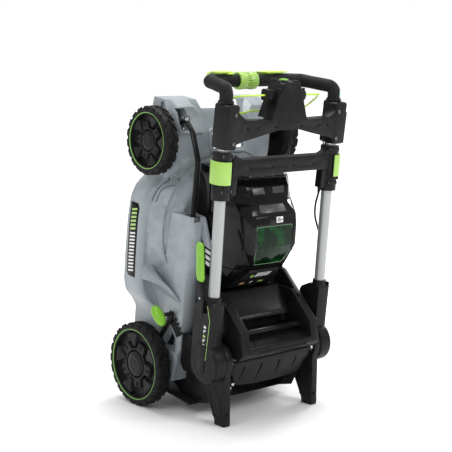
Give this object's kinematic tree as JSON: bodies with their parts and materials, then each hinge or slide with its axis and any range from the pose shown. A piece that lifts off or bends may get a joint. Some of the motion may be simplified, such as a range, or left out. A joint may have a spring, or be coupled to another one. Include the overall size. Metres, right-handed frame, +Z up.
{
  "type": "push lawn mower",
  "caption": "Cordless electric push lawn mower with its telescoping handle folded over the deck, standing on its rear wheels and handle feet for storage",
  "frame": {"origin": "middle of the footprint on the floor the mower is stored on", "axes": "+Z up along the stood-up deck, -Y towards the folded handle, +X towards the mower's right-hand wheels"},
  "size_m": [0.5296, 0.5192, 0.9995],
  "materials": {
    "aluminium": "satin",
    "black_plastic": "satin",
    "deck_grey": "satin, lightly textured",
    "gloss_black": "gloss",
    "green_plastic": "satin",
    "green_wire": "powder coat",
    "rubber": "matte",
    "smoked_green": "gloss, tinted",
    "stator": "bare winding on a light core",
    "steel": "bright"
  },
  "bodies": {
    "battery_lid": {"battery_lid": "gloss_black", "lid_window": "smoked_green"},
    "cam_lever_left": {"cam_lever_left": "green_plastic"},
    "cam_lever_right": {"cam_lever_right": "green_plastic"},
    "drive_bail": {"drive_bail": "green_wire"},
    "front_axle": {"front_crank_axle": "steel"},
    "handle": {"control_cable": "rubber", "handle_knuckle_left": "black_plastic", "handle_knuckle_right": "black_plastic", "lower_crossbar": "black_plastic", "lower_tube_left": "aluminium", "lower_tube_right": "aluminium", "release_pin": "steel"},
    "link_rod": {"link_rod": "black_plastic"},
    "power_bail": {"power_bail": "green_wire"},
    "rear_axle": {"height_knob": "green_plastic", "height_lever": "black_plastic", "rear_crank_axle": "steel"},
    "rear_door": {"rear_door": "black_plastic"},
    "release_lever": {"release_grip": "green_plastic", "release_stem": "black_plastic"},
    "root": {"axle_bush_front_left": "black_plastic", "axle_bush_front_right": "black_plastic", "axle_bush_rear_left": "black_plastic", "axle_bush_rear_right": "black_plastic", "battery_pack": "black_plastic", "battery_tray": "black_plastic", "carry_bar": "black_plastic", "chute_frame": "black_plastic", "control_module": "aluminium", "deck_shell": "deck_grey", "door_rod": "steel", "door_spring": "steel", "handle_bracket_left": "black_plastic", "handle_bracket_right": "black_plastic", "height_quadrant": "black_plastic", "knuckle_pin_left": "steel", "knuckle_pin_right": "steel", "motor_cover": "gloss_black", "motor_stator": "stator", "rear_chute": "black_plastic", "spindle_bearing": "steel", "trailing_apron": "rubber"},
    "rotor": {"blade": "steel", "blade_nut": "steel", "rotor_shaft": "steel"},
    "speed_dial": {"speed_dial": "green_plastic"},
    "start_button": {"start_button": "green_plastic"},
    "upper_handle": {"grip_sleeve": "rubber", "sliding_tube": "steel", "upper_bracket": "black_plastic"},
    "wheel_front_left": {"rim_front_left": "black_plastic", "tyre_front_left": "rubber"},
    "wheel_front_right": {"rim_front_right": "black_plastic", "tyre_front_right": "rubber"},
    "wheel_rear_left": {"rim_rear_left": "black_plastic", "tyre_rear_left": "rubber"},
    "wheel_rear_right": {"rim_rear_right": "black_plastic", "tyre_rear_right": "rubber"}
  },
  "joints": [
    {"name": "handle_fold", "type": "hinge", "parent": "root", "child": "handle", "pos_m": [0.00685, -0.15432, 0.18504], "axis": [1, 0, 0], "range_deg": [0, 140]},
    {"name": "handle_slide", "type": "slide", "parent": "handle", "child": "upper_handle", "axis": [0, -0.0724, 0.9974], "range_m": [0, 0.26]},
    {"name": "release_lever", "type": "hinge", "parent": "handle", "child": "release_lever", "pos_m": [-0.22515, -0.15342, 0.37453], "axis": [1, 0, 0], "range_deg": [0, 12], "stiffness_Nm_per_rad": 0.6, "springref_deg": -9.74},
    {"name": "cam_lever_left", "type": "hinge", "parent": "handle", "child": "cam_lever_left", "pos_m": [-0.23165, -0.17326, 0.73336], "axis": [0, -0.0724, 0.9974], "range_deg": [-85, 0]},
    {"name": "cam_lever_right", "type": "hinge", "parent": "handle", "child": "cam_lever_right", "pos_m": [0.24535, -0.17326, 0.73336], "axis": [0, -0.0724, 0.9974], "range_deg": [0, 85]},
    {"name": "power_bail", "type": "hinge", "parent": "upper_handle", "child": "power_bail", "pos_m": [0.00685, -0.22186, 0.93588], "axis": [1, 0, 0], "range_deg": [0, 28], "stiffness_Nm_per_rad": 0.5, "springref_deg": -20.05},
    {"name": "drive_bail", "type": "hinge", "parent": "upper_handle", "child": "drive_bail", "pos_m": [0.00685, -0.07447, 0.99016], "axis": [1, 0, 0], "range_deg": [0, 5], "stiffness_Nm_per_rad": 0.8, "springref_deg": -20.05},
    {"name": "speed_dial", "type": "hinge", "parent": "upper_handle", "child": "speed_dial", "pos_m": [-0.03315, -0.10349, 0.97241], "axis": [1, 0, 0], "range_deg": [0, 90]},
    {"name": "start_button", "type": "slide", "parent": "upper_handle", "child": "start_button", "axis": [0, 0.1245, -0.9922], "range_m": [0, 0.003], "stiffness_N_per_m": 400, "springref_m": -0.002},
    {"name": "height_axle_rear", "type": "hinge", "parent": "root", "child": "rear_axle", "pos_m": [0.00685, 0.10921, 0.16914], "axis": [1, 0, 0], "range_deg": [-16, 16]},
    {"name": "height_axle_front", "type": "hinge", "parent": "root", "child": "front_axle", "pos_m": [0.00685, 0.04995, 0.842], "axis": [1, 0, 0], "range_deg": [-16, 16]},
    {"name": "link_pivot", "type": "hinge", "parent": "rear_axle", "child": "link_rod", "pos_m": [0.00685, 0.07242, 0.18922], "axis": [1, 0, 0], "range_deg": [-16, 16]},
    {"name": "wheel_rear_left", "type": "hinge", "parent": "rear_axle", "child": "wheel_rear_left", "pos_m": [-0.22615, 0.13491, 0.125], "axis": [1, 0, 0], "continuous": true},
    {"name": "wheel_rear_right", "type": "hinge", "parent": "rear_axle", "child": "wheel_rear_right", "pos_m": [0.23985, 0.13491, 0.125], "axis": [1, 0, 0], "continuous": true},
    {"name": "wheel_front_left", "type": "hinge", "parent": "front_axle", "child": "wheel_front_left", "pos_m": [-0.22815, 0.07564, 0.79786], "axis": [1, 0, 0], "continuous": true},
    {"name": "wheel_front_right", "type": "hinge", "parent": "front_axle", "child": "wheel_front_right", "pos_m": [0.24185, 0.07564, 0.79786], "axis": [1, 0, 0], "continuous": true},
    {"name": "battery_lid", "type": "hinge", "parent": "root", "child": "battery_lid", "pos_m": [0.00685, -0.13169, 0.69927], "axis": [1, 0, 0], "range_deg": [-60, 0]},
    {"name": "rear_door", "type": "hinge", "parent": "root", "child": "rear_door", "pos_m": [0.00685, -0.19667, 0.18114], "axis": [1, 0, 0], "range_deg": [-70, 0], "stiffness_Nm_per_rad": 0.5, "springref_deg": 20.05},
    {"name": "rotor", "type": "hinge", "parent": "root", "child": "rotor", "pos_m": [0.00685, 0.21347, 0.50273], "axis": [0, -0.9922, -0.1245], "continuous": true}
  ],
  "couplings": [
    {"joint": "height_axle_front", "follows": "height_axle_rear", "ratio": 1},
    {"joint": "link_pivot", "follows": "height_axle_rear", "ratio": -1}
  ]
}
